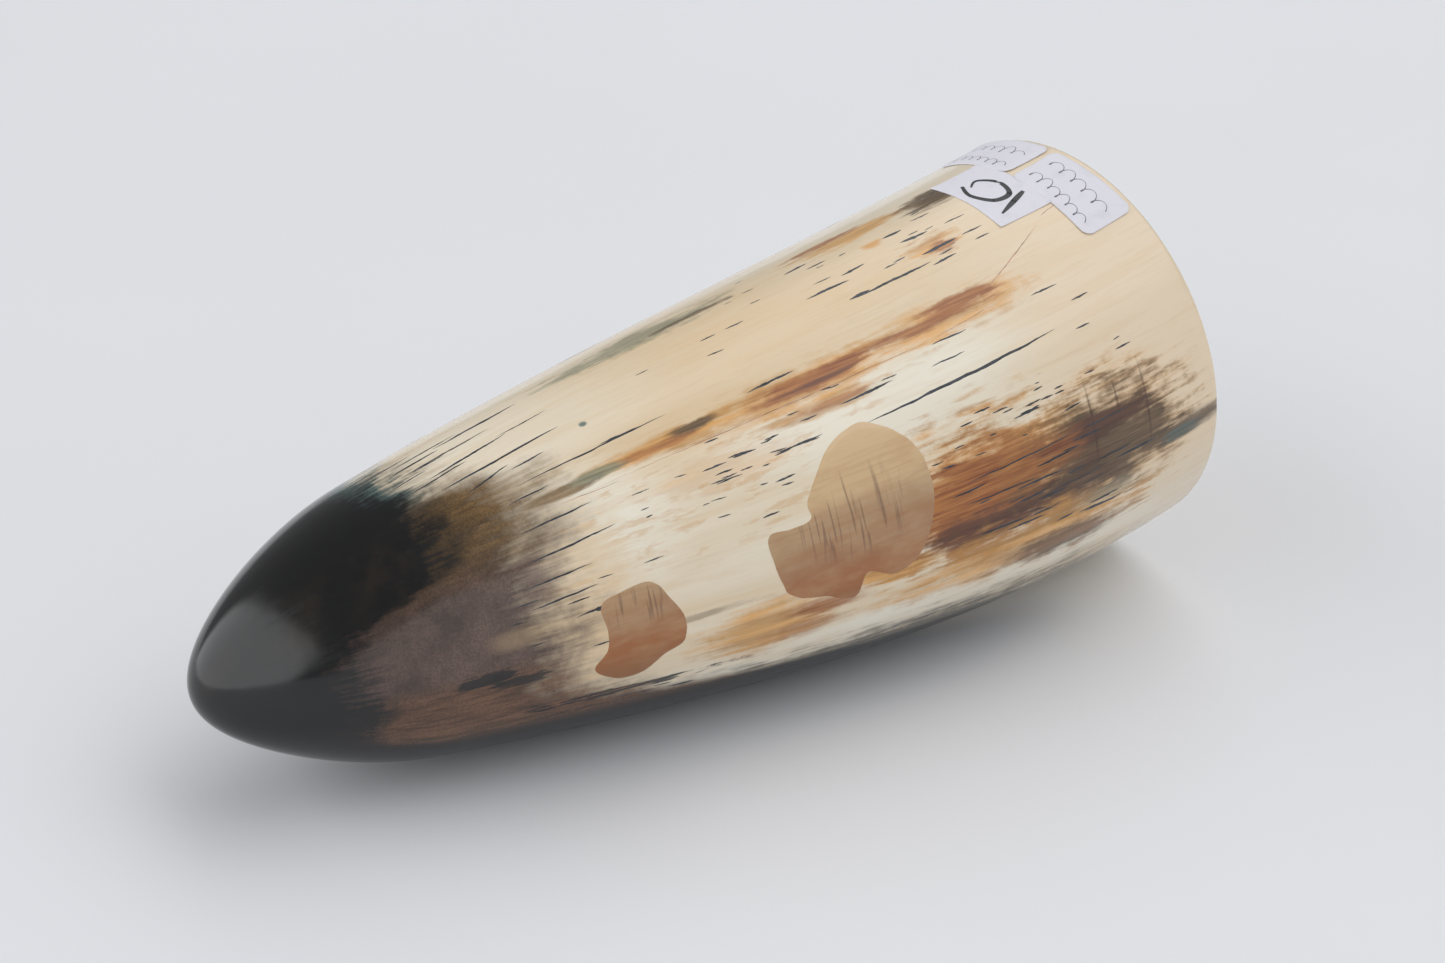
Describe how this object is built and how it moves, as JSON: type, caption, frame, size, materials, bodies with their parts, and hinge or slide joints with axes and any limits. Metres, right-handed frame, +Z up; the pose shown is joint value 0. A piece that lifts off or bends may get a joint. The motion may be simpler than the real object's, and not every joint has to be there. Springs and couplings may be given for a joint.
{
  "type": "polished tusk tip",
  "caption": "Solid polished tip of a fossil tusk: blunt dark nose, cream body with mineral cracks and brown stains, flat sawn end with small paper labels.",
  "frame": {"origin": "on the surface that the tusk lies on, under the middle of its bounding box", "axes": "+Z up, the tusk along X with its blunt nose towards -X and its sawn end towards +X, the centre line bending towards +Y"},
  "size_m": [0.152, 0.0722, 0.0618],
  "materials": {
    "polished_dentine": "polished",
    "bark": "polished",
    "crack_mineral": "satin",
    "label_paper": "matte"
  },
  "bodies": {
    "root": {"dentine_core": "polished_dentine", "bark_island_large": "bark", "bark_island_small": "bark", "crack_filling_1": "crack_mineral", "crack_filling_2": "crack_mineral", "crack_filling_3": "crack_mineral", "crack_filling_4": "crack_mineral", "crack_filling_5": "crack_mineral", "crack_filling_6": "crack_mineral", "square_label": "label_paper", "price_label": "label_paper", "stock_label": "label_paper"}
  },
  "joints": []
}
